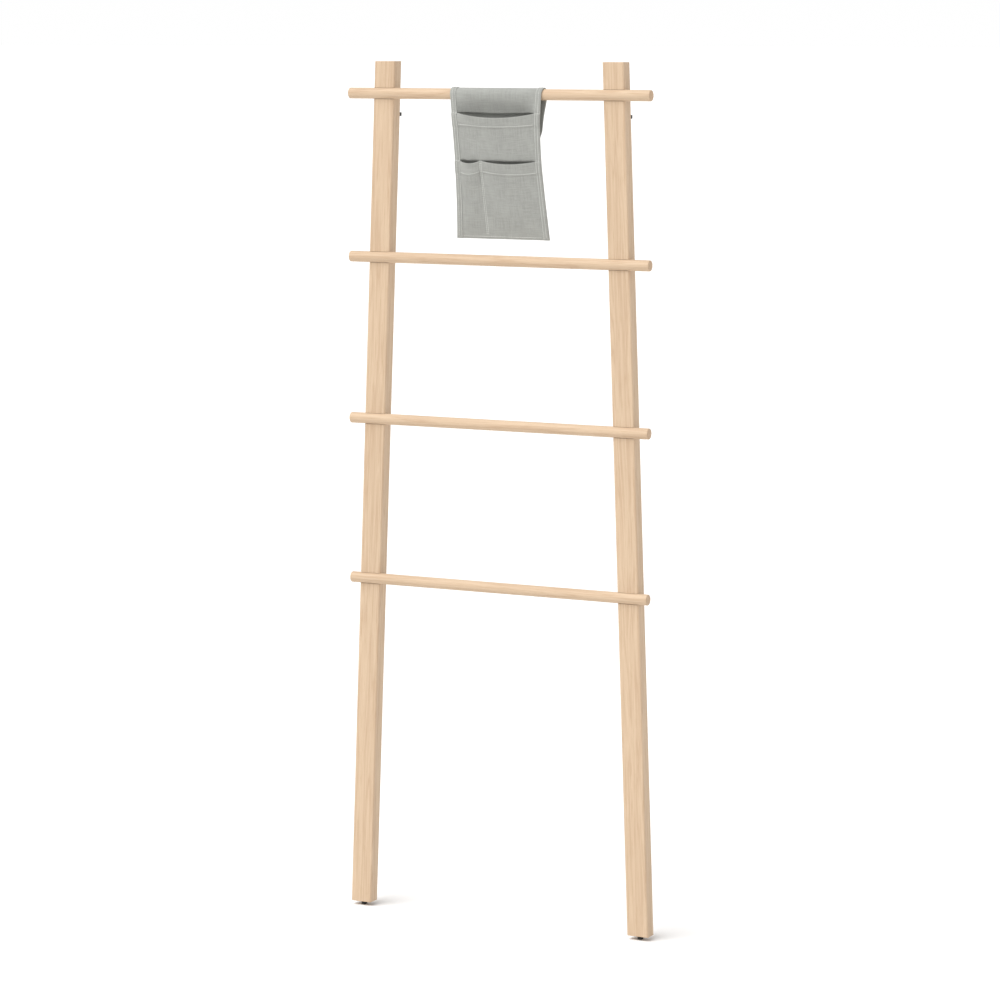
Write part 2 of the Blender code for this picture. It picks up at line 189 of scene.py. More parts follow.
def makeBirch(name, grainAxis, lean=0.0, shift=0.0):
    # birch, planed and sanded, with a clear matt oil: pale, fine short pores along the grain,
    # a faint wavy figure, darker end grain with its rings, and a soft silky gloss; lean turns
    # the grain along a leaning post, and shift gives each piece its own part of the plank
    material, tree, shader = newMaterial(name, 0.46, ior=1.48)
    shader.inputs["Specular IOR Level"].default_value = 0.25
    place = addNode(tree, "ShaderNodeTexCoord")
    turned = addNode(tree, "ShaderNodeMapping", {"Rotation": (0, lean, 0), "Location": (shift,) * 3},
                     {"Vector": place.outputs["Object"]})

    def stretched(across, along):
        scale = [1 / (across * mm)] * 3
        scale["XYZ".index(grainAxis)] = 1 / (along * mm)
        return addNode(tree, "ShaderNodeMapping", {"Scale": scale},
                       {"Vector": turned.outputs[0]}).outputs[0]

    figure = addNode(tree, "ShaderNodeTexNoise", {"Scale": 1.0, "Detail": 3.0, "Distortion": 0.6},
                     {"Vector": stretched(birch["figureAcross"], birch["figureAlong"])})
    rings = addNode(tree, "ShaderNodeMath", {"operation": "PINGPONG", 1: 0.11},
                    {0: figure.outputs["Fac"]})
    ringTone = addNode(tree, "ShaderNodeMath", {"operation": "MULTIPLY", 1: 9.0}, {0: rings.outputs[0]})
    tone = addRamp(tree, ringTone.outputs[0],
                   [(0.0, birch["dark"]), (0.35, birch["mid"]), (1.0, birch["pale"])])
    broad = addNode(tree, "ShaderNodeTexNoise", {"Scale": 1.0, "Detail": 2.0},
                    {"Vector": stretched(birch["broadAcross"], birch["broadAlong"])})
    broadTone = addRamp(tree, broad.outputs["Fac"], [(0.3, 0.95), (0.7, 1.0)])
    tone = mixColours(tree, 0.8, tone, broadTone, "MULTIPLY")
    pores = addNode(tree, "ShaderNodeTexNoise", {"Scale": 1.0, "Detail": 4.0, "Roughness": 0.7},
                    {"Vector": stretched(birch["poreAcross"], birch["poreAlong"])})
    poreMask = addRamp(tree, pores.outputs["Fac"], [(0.54, 0.0), (0.72, 0.45)])
    tone = mixColours(tree, poreMask, tone, linearColour(birch["pore"]))

    # the sawn ends: where the surface faces along the grain
    normal = addNode(tree, "ShaderNodeSeparateXYZ", None, {0: place.outputs["Normal"]})
    facing = addNode(tree, "ShaderNodeMath", {"operation": "ABSOLUTE"}, {0: normal.outputs[grainAxis]})
    endMask = addRamp(tree, facing.outputs[0], [(0.75, 0.0), (0.9, 1.0)])
    endScale = [birch["endRings"]] * 3
    endScale["XYZ".index(grainAxis)] = 0.0
    endPlace = addNode(tree, "ShaderNodeMapping", {"Scale": endScale, "Location": (0, 3.0, 0)},
                       {"Vector": turned.outputs[0]})
    endRings = addNode(tree, "ShaderNodeTexWave",
                       {"bands_direction": "Y", "Scale": 0.4, "Distortion": 3.0, "Detail": 2.0},
                       {"Vector": endPlace.outputs[0]})
    endTone = addRamp(tree, endRings.outputs["Fac"], [(0.0, birch["end"]), (1.0, birch["mid"])])
    tone = mixColours(tree, endMask, tone, endTone)
    tree.links.new(tone, shader.inputs["Base Color"])

    gloss = addRamp(tree, pores.outputs["Fac"], [(0.3, 0.42), (0.75, 0.62)])
    tree.links.new(gloss, shader.inputs["Roughness"])
    bump = addNode(tree, "ShaderNodeBump", {"Strength": 0.25, "Distance": 0.3 * mm, "invert": True},
                   {"Height": poreMask})
    tree.links.new(bump.outputs[0], shader.inputs["Normal"])
    return material


canvas = {
    "light": "#abaca7", "dark": "#959691",
    "thread": 1.3,      # mm between threads; the real cloth has about 0.7 mm, drawn coarser to show
    "slub": 26.0, "slubThick": 1.6,     # mm, a thicker stretch of yarn
    "handled": 29.412,  # mm, the slow changes of tone
    "fuzz": 0.41667,    # mm, the pile of loose fibres
}


def makeCanvas():
    # heavy plain-woven cotton canvas, dyed grey: matt, with a soft pile at grazing angles,
    # slubs along both threads and slow changes of tone where it has been handled
    material, tree, shader = newMaterial("greyCanvas", 0.92, ior=1.46)
    shader.inputs["Sheen Weight"].default_value = 0.25
    shader.inputs["Sheen Roughness"].default_value = 0.5
    shader.inputs["Specular IOR Level"].default_value = 0.25
    flat = addNode(tree, "ShaderNodeUVMap", {"uv_map": "flat"}).outputs[0]
    # a Wave texture's band is 2 pi / (20 * scale) wide
    bandScale = 2 * math.pi / 20 / (canvas["thread"] * mm)
    warp, weft = (addNode(tree, "ShaderNodeTexWave", {"bands_direction": axis, "Scale": bandScale},
                          {"Vector": flat}) for axis in "XY")
    over = addNode(tree, "ShaderNodeTexChecker", {"Scale": 1 / (canvas["thread"] * mm)},
                   {"Vector": flat})
    height = mixColours(tree, over.outputs["Fac"], warp.outputs["Color"], weft.outputs["Color"])

    def slubs(scale):
        stretched = addNode(tree, "ShaderNodeMapping", {"Scale": scale}, {"Vector": flat})
        return addNode(tree, "ShaderNodeTexNoise", {"Scale": 1.0, "Detail": 2.0},
                       {"Vector": stretched.outputs[0]}).outputs["Fac"]

    fine, long = 1 / (canvas["slubThick"] * mm), 1 / (canvas["slub"] * mm)
    warpTone = addRamp(tree, slubs((fine, long, 1)), [(0.3, canvas["dark"]), (0.7, canvas["light"])])
    weftTone = addRamp(tree, slubs((long, fine, 1)), [(0.3, canvas["dark"]), (0.7, canvas["light"])])
    tone = mixColours(tree, over.outputs["Fac"], warpTone, weftTone)
    # painted shade: the low places of the weave, between the threads, are darkened in the colour
    weaveHollowShade = addRamp(tree, height, [(0.0, 0.72), (0.45, 1.0)])
    tone = mixColours(tree, 0.8, tone, weaveHollowShade, "MULTIPLY")
    handled = addNode(tree, "ShaderNodeTexNoise",
                      {"Scale": 1 / (canvas["handled"] * mm), "Detail": 4.0, "Roughness": 0.6},
                      {"Vector": flat})
    handledTone = addRamp(tree, handled.outputs["Fac"], [(0.3, 0.9), (0.7, 1.0)])
    tone = mixColours(tree, 1.0, tone, handledTone, "MULTIPLY")
    tree.links.new(tone, shader.inputs["Base Color"])
    bump = addNode(tree, "ShaderNodeBump", {"Strength": 0.5, "Distance": 0.3 * mm}, {"Height": height})
    fuzz = addNode(tree, "ShaderNodeTexNoise", {"Scale": 1 / (canvas["fuzz"] * mm), "Detail": 2.0},
                   {"Vector": flat})
    soft = addNode(tree, "ShaderNodeBump", {"Strength": 0.3, "Distance": 0.2 * mm},
                   {"Height": fuzz.outputs["Fac"], "Normal": bump.outputs[0]})
    tree.links.new(soft.outputs[0], shader.inputs["Normal"])
    return material


thread = {"light": "#d6d7d2", "dark": "#bfc0bb", "speck": 1.1111}    # speck in mm, its twist


def makeThread():
    # spun polyester sewing thread, a shade paler than the canvas, with a slight shine
    material, tree, shader = newMaterial("sewingThread", 0.6)
    shader.inputs["Sheen Weight"].default_value = 0.2
    place = addNode(tree, "ShaderNodeTexCoord")
    speck = addNode(tree, "ShaderNodeTexNoise", {"Scale": 1 / (thread["speck"] * mm), "Detail": 2.0},
                    {"Vector": place.outputs["Object"]})
    tone = addRamp(tree, speck.outputs["Fac"], [(0.35, thread["dark"]), (0.65, thread["light"])])
    tree.links.new(tone, shader.inputs["Base Color"])
    return material


rubber = {
    "light": "#232322", "dark": "#141414",
    "mottle": 2.8571, "grain": 0.4,     # mm, the faint patches and the mould's texture
}


def makeRubber():
    # moulded black rubber: matt, faintly mottled, a fine grain from the mould
    material, tree, shader = newMaterial("mouldedRubber", 0.62, ior=1.52)
    place = addNode(tree, "ShaderNodeTexCoord")
    mottle = addNode(tree, "ShaderNodeTexNoise", {"Scale": 1 / (rubber["mottle"] * mm), "Detail": 4.0},
                     {"Vector": place.outputs["Object"]})
    tone = addRamp(tree, mottle.outputs["Fac"], [(0.3, rubber["dark"]), (0.7, rubber["light"])])
    gloss = addRamp(tree, mottle.outputs["Fac"], [(0.3, 0.55), (0.7, 0.75)])
    grain = addNode(tree, "ShaderNodeTexNoise", {"Scale": 1 / (rubber["grain"] * mm)},
                    {"Vector": place.outputs["Object"]})
    bump = addNode(tree, "ShaderNodeBump", {"Strength": 0.3, "Distance": 0.1 * mm},
                   {"Height": grain.outputs["Fac"]})
    tree.links.new(tone, shader.inputs["Base Color"])
    tree.links.new(gloss, shader.inputs["Roughness"])
    tree.links.new(bump.outputs[0], shader.inputs["Normal"])
    return material


# roughness, and how far it varies either way; cloud in mm
zinc = {"pale": "#c6c8ca", "dark": "#9fa1a4", "roughness": 0.38, "spread": 0.1, "cloud": 1.6667}
nickel = {"pale": "#d9d6cf", "dark": "#bdbab3", "roughness": 0.24, "spread": 0.07, "cloud": 1.6667}


def makeMetal(name, metal):
    # plated metal: zinc is dull and cloudy, nickel is bright with faint handling marks
    material, tree, shader = newMaterial(name, metal["roughness"], metallic=1.0)
    place = addNode(tree, "ShaderNodeTexCoord")
    cloud = addNode(tree, "ShaderNodeTexNoise", {"Scale": 1 / (metal["cloud"] * mm), "Detail": 5.0},
                    {"Vector": place.outputs["Object"]})
    tone = addRamp(tree, cloud.outputs["Fac"], [(0.35, metal["dark"]), (0.65, metal["pale"])])
    gloss = addRamp(tree, cloud.outputs["Fac"], [(0.3, metal["roughness"] - metal["spread"]),
                                                 (0.7, metal["roughness"] + metal["spread"])])
    tree.links.new(tone, shader.inputs["Base Color"])
    tree.links.new(gloss, shader.inputs["Roughness"])
    return material


rung = {
    "tightFit": 0.2 * mm,       # thicker than its notches, so that no gap shows
    "ease": 1.3 * mm,           # the rounding of its ends
    "sides": 64, "easeSteps": 8,
}


def rungPiece(number, material):
    # a turned dowel: radius(t) is constant but for a quarter-round at each end; the grid is
    # angle round the axis by place along it, and each end closes with one flat face
    low, high = boxOf(f"rung_{number}")
    y, z = (low + high)[1:] / 2
    radius = (high[2] - low[2]) / 2 + rung["tightFit"]
    ease, sides = rung["ease"], rung["sides"]
    turn = np.linspace(0, math.pi / 2, rung["easeSteps"])
    along = np.concatenate([low[0] + ease * (1 - np.cos(turn)),
                            np.linspace(low[0] + 0.02, high[0] - 0.02, 9),
                            high[0] - ease * (1 - np.cos(turn[::-1]))])
    ring = np.concatenate([radius - ease * (1 - np.sin(turn)), np.full(9, radius),
                           radius - ease * (1 - np.sin(turn[::-1]))])
    angle = np.linspace(0, 2 * math.pi, sides, endpoint=False)
    points = np.stack([np.broadcast_to(along[:, None], (len(along), sides)),
                       y + ring[:, None] * np.cos(angle), z + ring[:, None] * np.sin(angle)], -1)
    count = len(along)
    faces = gridFaces(count, sides, wrap=True)
    faces.append(list(range(sides)))
    faces.append(list(range((count - 1) * sides, count * sides))[::-1])
    piece = makePiece(f"birchRung{number}", points.reshape(-1, 3), faces, material)
    fixNormals(piece)
    piece.data.set_sharp_from_angle(angle=math.radians(50))
    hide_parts(f"rung_{number}")
    return piece


def fixNormals(piece):
    bm = bmesh.new()
    bm.from_mesh(piece.data)
    bmesh.ops.recalc_face_normals(bm, faces=bm.faces)
    bm.to_mesh(piece.data)
    bm.free()


def buildLadder():
    moulded = makeRubber()
    steel = makeMetal("zincPlatedSteel", zinc)
    foot, bumper = (sum(boxOf(node)) / 2 for node in ("foot_right", "wall_bumper_right"))
    postLean = math.atan2(foot[0] - bumper[0], bumper[2] - foot[2])     # the posts splay evenly
    for side, lean in (("left", -postLean), ("right", postLean)):
        wood = makeBirch(f"oiledBirchPost{side.title()}", "Z", lean, 0.37 if side == "left" else 1.91)
        pieces = [smoothCopy(f"post_{side}", f"birchPost{side.title()}", wood),
                  smoothCopy(f"foot_{side}", f"rubberFoot{side.title()}", moulded),
                  smoothCopy(f"wall_bumper_{side}", f"wallBumper{side.title()}", moulded)]
        pieces += [smoothCopy(f"rung_screw_{side}_{n}", f"rungScrew{side.title()}{n}", steel)
                   for n in range(1, 5)]
        for piece, slot in zip(pieces, ["wood", "rubber", "rubber"] + ["screw_steel"] * 4):
            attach(piece, "rack")
    for number in range(1, 5):
        wood = makeBirch(f"oiledBirchRung{number}", "X", 0.0, 0.71 * number)
        piece = rungPiece(number, wood)
        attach(piece, "rack")
    print("ladder made")


# the organiser's cloth: its pieces are surfaces of c, the place across the flat cloth, and s,
# the distance down it from the level of the rung's axis
joints = {joint["name"]: joint for joint in frame["record"]["behaviour"]["joints"]}
topRungLow, topRungHigh = boxOf("rung_1")
rungY, rungZ = (topRungLow + topRungHigh)[1:] / 2
leafHinge = np.array(joints["leaf_lift"]["pos_m"])
flapHinge = np.array(joints["flap_open"]["pos_m"])
loopRadius = (flapHinge[1] - leafHinge[1]) / 2      # middle of the cloth, from the rung's axis

leafLow, leafHigh = boxOf("front_leaf")
cloth = {
    "thickness": 1.0 * mm,      # heavy canvas
    "centre": (leafLow[0] + leafHigh[0]) / 2,
    "halfFlat": 87 * mm,        # half its width between the side folds
    "halfTop": 86.0 * mm,       # half widths as it hangs: at the rung,
    "halfWaist": 81.6 * mm,     # at the waist, where the seams pull in,
    "halfBottom": 88.0 * mm,    # and at the bottom edge
    "waistAt": 105 * mm,        # below the rung's axis
    "length": 249 * mm,         # below the rung's axis
    "tilt": math.radians(7.2),  # the leaf hangs back from the plane of the posts
    "overRung": math.radians(125),      # how much of the rung the leaf's cloth covers, from its front
    "layer": 1.06,              # thicknesses from one layer's middle to the next
    "seam": 0.9,                # where the side seams run, as a share of the half width
    "sideHem": 10 * mm,         # the side edges are turned to the front, over the pockets' edges
    "foldBulge": 0.7 * mm,      # how far the side folds stand out sideways
    "pucker": 0.22 * mm, "puckerPitch": 9 * mm,     # the puckers beside the side seams
    "edgeRound": 0.25 * mm,
}
pockets = {
    "upperEnds": 32 * mm, "upperSag": 7.5 * mm,     # the mouths: their ends, below the rung's axis,
    "lowerEnds": 114 * mm, "lowerSag": 4.6 * mm,    # and how far their middles sag
    "upperHem": 16 * mm, "lowerHem": 18.5 * mm,
    "hemSpread": 4.5 * mm,      # the hems are this much deeper at their ends
    "upperLip": 7.5 * mm, "lowerLip": 4 * mm,       # how far the mouths stand forward,
    "upperLipFade": 0.2, "lowerLipFade": 0.22,      # fading down this share of the pocket
    "upperBelly": 1.6 * mm, "lowerBelly": 1.8 * mm,
    # the narrow pocket swells just under its hem
    "narrowFull": 3.4 * mm, "narrowFullAt": 143 * mm, "narrowFullWidth": 17 * mm,
    "dividerTop": -34.3 * mm, "dividerShift": 6.5 * mm,     # the seam between the lower pockets
    "dividerRoom": 1.5 * mm,    # cloth held flat on each side of it
}
recess = {
    "depth": 6.2 * mm, "start": 5 * mm, "end": 31 * mm,     # the leaf falls back under the rung
    "easeStart": 40 * mm, "easeEnd": 92 * mm,       # and comes forward again inside the pocket
    "upperGap": 5.2 * mm, "upperHeight": 6.5 * mm, "upperFade": 30 * mm,    # ledge, upper mouth
    "lowerGap": 9 * mm, "lowerHeight": 5.5 * mm, "lowerFade": 34 * mm,      # ledge, lower mouths
    "hollow": 5 * mm, "hollowAt": 122 * mm, "hollowWidth": 14 * mm,     # the leaf makes room for it
}


def smoothRise(value, start, end):
    t = np.clip((value - start) / (end - start), 0, 1)
    return t * t * (3 - 2 * t)


def bell(value, middle, width):
    return np.exp(-((value - middle) / width) ** 2)


def halfWidth(s):
    # half the hanging width: a parabola above the waist and a softer curve below it
    above = np.clip((cloth["waistAt"] - s) / cloth["waistAt"], 0, 1.08)
    below = np.clip((s - cloth["waistAt"]) / (cloth["length"] - cloth["waistAt"]), 0, 1)
    return (cloth["halfWaist"] + (cloth["halfTop"] - cloth["halfWaist"]) * above ** 2
            + (cloth["halfBottom"] - cloth["halfWaist"]) * below ** 1.6)


def sideways(c, s):
    # x, with the cloth drawn in or let out evenly to its hanging width
    return cloth["centre"] + c / cloth["halfFlat"] * halfWidth(s)


def hang(c, n, s):
    # n is the offset square to the leaf's plane, back being positive; the plane is tilted back
    d = s - (rungZ - leafHinge[2])
    sine, cosine = math.sin(cloth["tilt"]), math.cos(cloth["tilt"])
    return np.stack([sideways(c, s), leafHinge[1] + n * cosine + d * sine,
                     leafHinge[2] + n * sine - d * cosine], -1)


def dividerAt(s):
    # where the seam between the lower pockets runs: it drifts a little on its way down
    along = np.clip((s - pockets["lowerEnds"]) / (cloth["length"] - pockets["lowerEnds"]), 0, 1)
    return pockets["dividerTop"] + pockets["dividerShift"] * along ** 1.3


def arch(t):
    # 0 at both ends of 0..1, 1 in the middle, rounder than a parabola
    return np.clip(4 * t * (1 - t), 0, 1) ** 0.75


def acrossUpper(c):
    # one arch from side seam to side seam
    return arch((c / (cloth["halfFlat"] * cloth["seam"]) + 1) / 2)


def acrossLower(c, s):
    # one arch for each of the two lower pockets
    edge, room = cloth["halfFlat"] * cloth["seam"], pockets["dividerRoom"]
    divider = dividerAt(s)
    left = arch((c + edge) / (divider - room + edge))
    right = arch((c - divider - room) / (edge - divider - room))
    return np.where(c < divider, 0.93 * left, right)


def uneven(c, s, seed, size):
    # a few slow waves across the cloth, fixed by the seed
    rng = np.random.RandomState(seed)
    total = np.zeros(np.broadcast(c, s).shape)
    for _ in range(6):
        length = rng.uniform(28, 95) * mm
        heading, phase = rng.uniform(0, 2 * math.pi, 2)
        along = c * math.cos(heading) + s * math.sin(heading)
        total = total + np.sin(2 * math.pi / length * along + phase)
    return size * total / 3


def sideCurve(c, s):
    # how the side seams hang: plumb at the rung, bowed forward a third of the way down, with
    # short puckers that die away from the stitching
    t = np.clip(s / cloth["length"], 0, 1)
    away = np.abs(np.abs(c) - cloth["halfFlat"] * cloth["seam"])
    ripple = np.sin(2 * math.pi * s / cloth["puckerPitch"] + 9 * np.sin(c * 40))
    pucker = cloth["pucker"] * ripple * np.exp(-away / (4 * mm)) * smoothRise(s, 0, 20 * mm)
    return pucker - math.tan(cloth["tilt"]) * cloth["length"] * t * (1 - t) ** 2.2


def upperMouth(c):
    # where the upper pocket's edge runs; it sags between the side seams
    return pockets["upperEnds"] + pockets["upperSag"] * acrossUpper(c) ** 1.3


def lowerMouth(c):
    # the same for the lower pockets, which sag one by one
    across = acrossLower(c, pockets["lowerEnds"] + 0 * c)
    return pockets["lowerEnds"] + pockets["lowerSag"] * across ** 1.3


def mouthGap(s, mouth, height, fade):
    # a ledge in the cloth behind a mouth: it falls back over a few millimetres just above the
    # mouth's edge, as high as the mouth gapes there, and comes forward again inside the pocket
    falls = smoothRise(s, mouth - height - 1 * mm, mouth - 0.4 * height)
    return falls * (1 - smoothRise(s, mouth + 2 * mm, mouth + fade))


def upperGap(c, s):
    height = recess["upperHeight"] * acrossUpper(c)
    return recess["upperGap"] * mouthGap(s, upperMouth(c), height, recess["upperFade"])


def lowerGap(c, s):
    across = acrossLower(c, s)
    gap = mouthGap(s, lowerMouth(c), recess["lowerHeight"] * across, recess["lowerFade"])
    return recess["lowerGap"] * across * gap


def leafOffset(c, s):
    # the sides follow the seams; the middle falls back under the rung and behind both mouths
    down = np.clip(s, 0, None)
    back = smoothRise(down, recess["start"], recess["end"])
    forward = 1 - smoothRise(down, recess["easeStart"], recess["easeEnd"])
    middle = recess["depth"] * back * forward + upperGap(c, down)
    middle = middle + recess["hollow"] * bell(down, recess["hollowAt"], recess["hollowWidth"])
    middle = middle + smoothRise(down, 0, 20 * mm) * uneven(c, s, seed=3, size=0.2 * mm)
    edge = np.clip(np.abs(c) / (cloth["halfFlat"] * cloth["seam"]), 0, 1) ** 6
    return edge * sideCurve(c, down) + (1 - edge) * middle


def upperHem(c):
    # how deep the turned hem is
    return pockets["upperHem"] + pockets["hemSpread"] * (1 - acrossUpper(c))


def lowerHem(c):
    return pockets["lowerHem"] + 0.4 * pockets["hemSpread"] * (1 - acrossUpper(c))


def hemStep(below, hem):
    # the extra layer of a turned hem, easing off past its stitching, with the stitches' groove
    step = 1.1 * cloth["thickness"] * (1 - smoothRise(below, hem - 1 * mm, hem + 2 * mm))
    return step - stitch["groove"] * bell(below, hem - stitch["hemInset"], 0.9 * mm)


def upperOffset(c, s):
    # the upper pocket's cloth: on the side seams, a lip that stands forward at the mouth and
    # fades down, and drawn back where it is seen behind the lower mouths
    below = s - upperMouth(c)
    share = np.clip(below / (cloth["length"] - upperMouth(c)), 0, 1)
    body = pockets["upperLip"] * np.exp(-share / pockets["upperLipFade"])
    body = body + pockets["upperBelly"] * np.sin(math.pi * share)
    body = body * acrossUpper(c) * (1 - share ** 3)
    wave = uneven(c, s, seed=8, size=0.3 * mm) * acrossUpper(c) * (1 - share ** 4)
    wave = wave * (1 - bell(s, recess["hollowAt"], 25 * mm))
    layers = cloth["layer"] * cloth["thickness"] + hemStep(below, upperHem(c))
    return sideCurve(c, s) - layers - body + lowerGap(c, s) - wave


def lowerOffset(c, s):
    # the lower pockets' cloth, sewn down both sides and along the divider
    below = s - lowerMouth(c)
    share = np.clip(below / (cloth["length"] - lowerMouth(c)), 0, 1)
    across = acrossLower(c, s)
    body = pockets["lowerLip"] * np.exp(-share / pockets["lowerLipFade"])
    body = body + pockets["lowerBelly"] * np.sin(math.pi * share)
    wave = np.abs(uneven(c, s, seed=15, size=0.35 * mm))
    full = pockets["narrowFull"] * bell(s, pockets["narrowFullAt"], pockets["narrowFullWidth"])
    full = full * (c < dividerAt(s))
    layers = cloth["layer"] * cloth["thickness"] + hemStep(below, lowerHem(c))
    forward = (body + wave) * (1 - share ** 4) + full
    return upperOffset(c, s) - layers - lowerGap(c, s) - forward * across


def sideLift(c, s):
    # how far the turned side hem stands off the leaf, over the edges of the pockets; its inner
    # edge is pressed into the cloth by the stitching
    overUpper, overLower = (smoothRise(s, pockets[ends] - 2 * mm, pockets[ends] + 1 * mm)
                            for ends in ("upperEnds", "lowerEnds"))
    leaf = leafOffset(c, s)
    front = (1 - overUpper) * leaf + (overUpper - overLower) * upperOffset(c, s)
    front = front + overLower * lowerOffset(c, s)
    pressed = smoothRise(cloth["halfFlat"] - np.abs(c), cloth["sideHem"] - 3 * mm, cloth["sideHem"])
    return leaf - front + (1.08 - 0.55 * pressed) * cloth["thickness"]


def leafPoint(c, s, lift=0.0):
    # round the rung above its axis, hanging below it; lift stands it off its outer face
    angle = -np.minimum(s, 0) / loopRadius
    radius = loopRadius + lift
    wrapped = np.stack([sideways(c, s), rungY - radius * np.cos(angle),
                        rungZ + radius * np.sin(angle)], -1)
    return np.where((s < 0)[..., None], wrapped, hang(c, leafOffset(c, s) - lift, s))


def sideHemPoint(c, s):
    return leafPoint(c, s, sideLift(c, s))


def upperPoint(c, s):
    return hang(c, upperOffset(c, s), s)


def lowerPoint(c, s):
    return hang(c, lowerOffset(c, s), s)


flap = {
    "meets": 73 * mm, "end": 101 * mm,      # where it reaches the leaf and ends, below the axis
    "lie": 5.1 * mm,            # how far behind the leaf's plane it lies from there on
    "hemLift": 1.1 * mm,        # one more layer, where the side hem is turned
    "narrowsBelowRung": 5 * mm, "narrowsAtStuds": 4.5 * mm,     # each side, on the way down
    "sidesCloser": 3 * mm,      # its sides lie this much nearer the leaf than its middle
    "studsStart": 60 * mm, "studsEnd": 80 * mm,     # down from the back of the rung
}


def flapPath():
    # from the back of the rung straight to where it meets the leaf, then along the leaf, the
    # corner smoothed by a moving average; lengths, (y, z) places and (y, z) outward directions
    tangent = np.array([rungY + loopRadius, rungZ])
    meet, end = (hang(np.array(0.0), np.array(flap["lie"]), np.array(s))[1:]
                 for s in (flap["meets"], flap["end"]))
    first, second = np.linalg.norm(meet - tangent), np.linalg.norm(end - meet)
    length = np.linspace(-14 * mm, first + second + 14 * mm, 400)
    corner = np.array([-first, 0, first, first + second, 2 * (first + second)])
    up = tangent + np.array([0, first])
    far = end + (end - meet) / second * (first + second)
    raw = np.stack([up, tangent, meet, end, far])
    raw = np.stack([np.interp(length, corner, raw[:, i]) for i in (0, 1)], -1)
    half = 45       # samples each side in the moving average, about 15 mm of cloth
    kernel = np.hanning(2 * half + 1)
    kernel /= kernel.sum()
    padded = np.pad(raw, ((half, half), (0, 0)), mode="reflect", reflect_type="odd")
    smooth = np.stack([np.convolve(padded[:, i], kernel, "valid") for i in (0, 1)], -1)
    run = np.gradient(smooth, axis=0)
    run /= np.linalg.norm(run, axis=1, keepdims=True)
    return length, smooth, np.stack([-run[:, 1], run[:, 0]], -1), first + second


flapLengths, flapPlaces, flapOutward, flapReach = flapPath()


def flapPoint(c, s, lift=0.0):
    # s runs down from the back of the rung, and negative s goes up and over it; the flap narrows
    # in two steps, and its sides lie closer to the leaf than its middle, where the studs are
    half = (cloth["halfTop"] - flap["narrowsBelowRung"] * smoothRise(s, 2 * mm, 50 * mm)
            - flap["narrowsAtStuds"] * smoothRise(s, flap["studsStart"], flap["studsEnd"]))
    x = cloth["centre"] + c / cloth["halfFlat"] * half
    angle = -np.minimum(s, 0) / loopRadius
    radius = loopRadius + lift
    wrapped = np.stack([x, rungY + radius * np.cos(angle), rungZ + radius * np.sin(angle)], -1)
    wave = uneven(c, s, seed=21, size=0.35 * mm) * smoothRise(s, 0, 20 * mm)
    wave = wave * (1 - smoothRise(s, flapReach - 40 * mm, flapReach))
    closer = flap["sidesCloser"] * np.abs(c / cloth["halfFlat"]) ** 6
    closer = closer * smoothRise(s, 45 * mm, 75 * mm)
    off = lift + wave - closer
    yz = [np.interp(s, flapLengths, flapPlaces[:, i])
          + off * np.interp(s, flapLengths, flapOutward[:, i]) for i in (0, 1)]
    hung = np.stack([x + 0 * s, *yz], -1)
    return np.where((s < 0)[..., None], wrapped, hung)


def flapHemPoint(c, s):
    return flapPoint(c, s, flap["hemLift"])


def steps(*stops):
    # places from the first stop to the last; stops are (place, step up to the next), in mm
    parts = [np.linspace(a, b, max(1, round((b - a) / step)) + 1)[:-1]
             for (a, step), (b, _) in zip(stops, stops[1:])]
    return np.concatenate(parts + [[stops[-1][0]]]) * mm


def clothPiece(name, points, across, lengths, material):
    # a grid of points, rows down the cloth and columns across it, given its thickness; the flat
    # places are moved on by a metre, so that no pattern crosses zero
    flatUv = np.stack(np.broadcast_arrays(across[None, :] + 1.0, lengths[:, None] + 1.0), -1)
    piece = makePiece(name, points.reshape(-1, 3), gridFaces(*points.shape[:2]), material,
                      flatUv=flatUv.reshape(-1, 2))
    fixNormals(piece)
    wall = piece.modifiers.new("Cloth", "SOLIDIFY")
    wall.thickness = cloth["thickness"]
    wall.offset = 0
    wall.use_even_offset = False
    edge = piece.modifiers.new("Edge", "BEVEL")
    edge.width = cloth["edgeRound"]
    edge.segments = 2
    edge.limit_method = "ANGLE"
    edge.angle_limit = math.radians(60)
    return piece


def turnedSides(point, lift, columns, rows):
    # the cloth from side to side, then each side edge folded round half an ellipse and laid back
    # on the outer face; lift(c, s) is the gap between the two layers
    c, s = np.meshgrid(columns, rows)
    middle = point(c, s)
    turn = np.linspace(0, math.pi, 9)[1:-1]
    parts, places = [middle], [columns]
    for side in (-1, 1):
        edge = side * cloth["halfFlat"]
        inward = edge - side * np.linspace(0, cloth["sideHem"], 11)
        c, s = np.meshgrid(inward, rows)
        laid = point(c, s, lift(c, s))
        first, last = point(edge + 0 * rows, rows), laid[:, 0]
        centre, across = (first + last) / 2, (last - first) / 2
        fold = (centre[:, None] - np.cos(turn)[None, :, None] * across[:, None]
                + cloth["foldBulge"] * np.sin(turn)[None, :, None] * np.array([side, 0, 0]))
        flat = np.concatenate([1 * mm * turn / math.pi, 1 * mm + np.linspace(0, cloth["sideHem"], 11)])
        flat = edge + side * flat
        new = np.concatenate([fold, laid], axis=1)
        if side < 0:
            parts, places = [new[:, ::-1]] + parts, [flat[::-1]] + places
        else:
            parts, places = parts + [new], places + [flat]
    return np.concatenate(parts, axis=1), np.concatenate(places)


